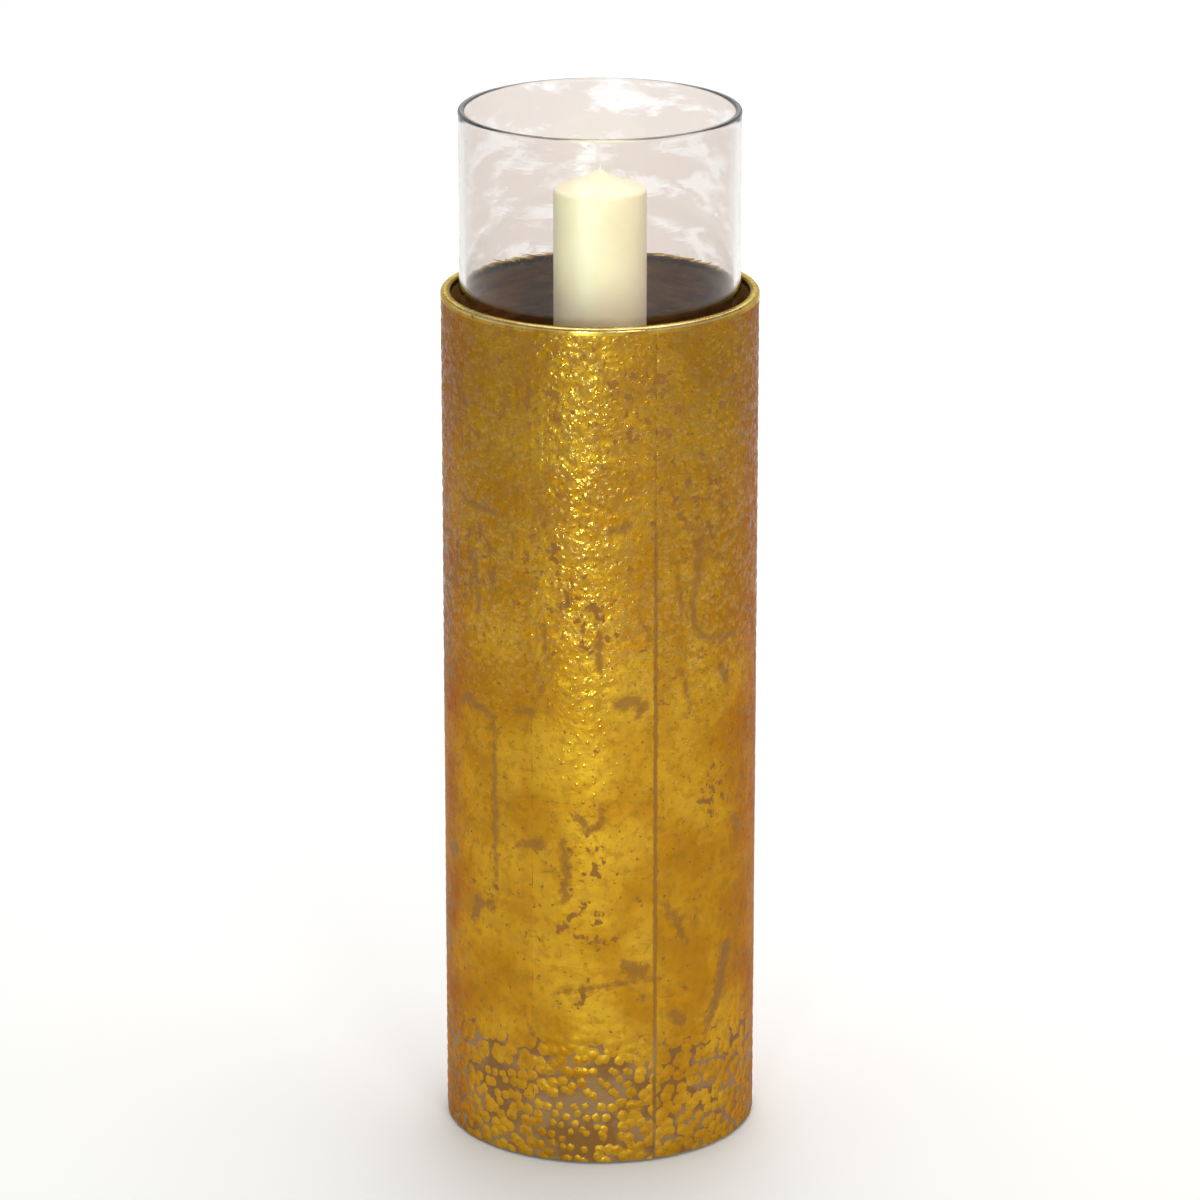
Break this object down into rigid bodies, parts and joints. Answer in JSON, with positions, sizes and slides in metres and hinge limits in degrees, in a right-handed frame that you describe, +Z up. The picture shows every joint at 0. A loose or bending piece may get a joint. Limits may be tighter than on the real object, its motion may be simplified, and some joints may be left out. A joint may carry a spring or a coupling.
{
  "type": "pillar candle holder",
  "caption": "Tall round hammered metal drum with a sunk well in its top that holds a loose clear glass cylinder around a pillar candle.",
  "frame": {"origin": "on the ground under the middle of the drum", "axes": "+Z up along the drum's axis, -Y towards the front, +X to the viewer's right; the drum's seam is right of the front"},
  "size_m": [0.24, 0.24, 0.8],
  "materials": {
    "gold_leaf": "imitation gold leaf over a mauve-brown ground, lacquered",
    "bare_steel": "mill steel with a grey primer",
    "dark_brown_paint": "satin dark brown paint",
    "blackened_screw": "blackened steel",
    "zinc_screw": "zinc-plated steel",
    "black_paint": "matt black powder coat",
    "pad_rubber": "matt black rubber",
    "clear_glass": "clear hand-made glass, faintly warm grey",
    "cream_wax": "cream candle wax, satin",
    "wick_cotton": "braided cotton wick, waxed"
  },
  "bodies": {
    "drum": {"drum_shell": "gold_leaf", "rim_ring": "gold_leaf", "seam_strap": "bare_steel", "well_wall": "dark_brown_paint", "well_floor": "dark_brown_paint", "well_bracket_1": "bare_steel", "well_bracket_2": "bare_steel", "well_bracket_3": "bare_steel", "well_bracket_4": "bare_steel", "well_screws": "blackened_screw", "base_ring": "bare_steel", "base_plate": "black_paint", "base_screws": "zinc_screw", "weld_nuts": "zinc_screw", "foot_pad_1": "pad_rubber", "foot_pad_2": "pad_rubber", "foot_pad_3": "pad_rubber", "foot_pad_4": "pad_rubber"},
    "glass": {"glass_cylinder": "clear_glass"},
    "candle": {"candle_wax": "cream_wax", "candle_wick": "wick_cotton"}
  },
  "joints": [
    {"name": "glass_lift", "type": "slide", "parent": "drum", "child": "glass", "axis": [0, 0, 1], "range_m": [0, 0.22]},
    {"name": "candle_lift", "type": "slide", "parent": "drum", "child": "candle", "axis": [0, 0, 1], "range_m": [0, 0.22]}
  ]
}
